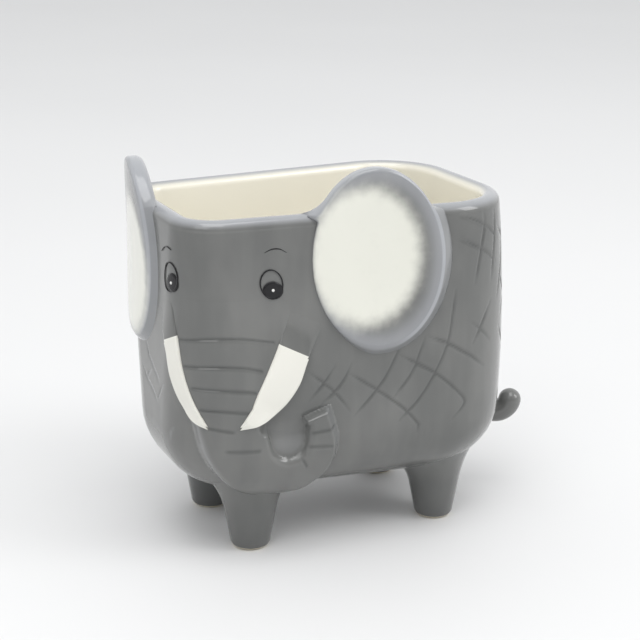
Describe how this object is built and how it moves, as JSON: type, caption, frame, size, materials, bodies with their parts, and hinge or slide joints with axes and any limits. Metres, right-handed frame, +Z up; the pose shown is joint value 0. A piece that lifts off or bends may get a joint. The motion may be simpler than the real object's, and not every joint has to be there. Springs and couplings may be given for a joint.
{
  "type": "animal shaped planter",
  "caption": "Glazed ceramic planter shaped as a standing elephant: an open rounded pot on short legs, with ears, tusks, a curled trunk, a tail and a drain stopper.",
  "frame": {"origin": "under the middle of the whole planter, on the surface that it stands on", "axes": "+Z up, -Y the elephant's front, +X its left side, to which its head is turned"},
  "size_m": [0.0904, 0.1504, 0.1388],
  "materials": {
    "grey_glaze": "gloss grey glaze",
    "ear_glaze": "gloss white glaze with a grey sprayed border",
    "tusk_glaze": "gloss white glaze",
    "stopper_rubber": "matt black rubber"
  },
  "bodies": {
    "planter": {"pot_body": "grey_glaze", "left_ear": "ear_glaze", "right_ear": "ear_glaze", "trunk": "grey_glaze", "left_tusk": "tusk_glaze", "right_tusk": "tusk_glaze", "front_left_leg": "grey_glaze", "front_right_leg": "grey_glaze", "rear_left_leg": "grey_glaze", "rear_right_leg": "grey_glaze", "tail": "grey_glaze"},
    "stopper": {"drain_plug": "stopper_rubber"}
  },
  "joints": [
    {"name": "stopper_pull", "type": "slide", "parent": "planter", "child": "stopper", "axis": [0, 0, -1], "range_m": [0, 0.01]}
  ]
}
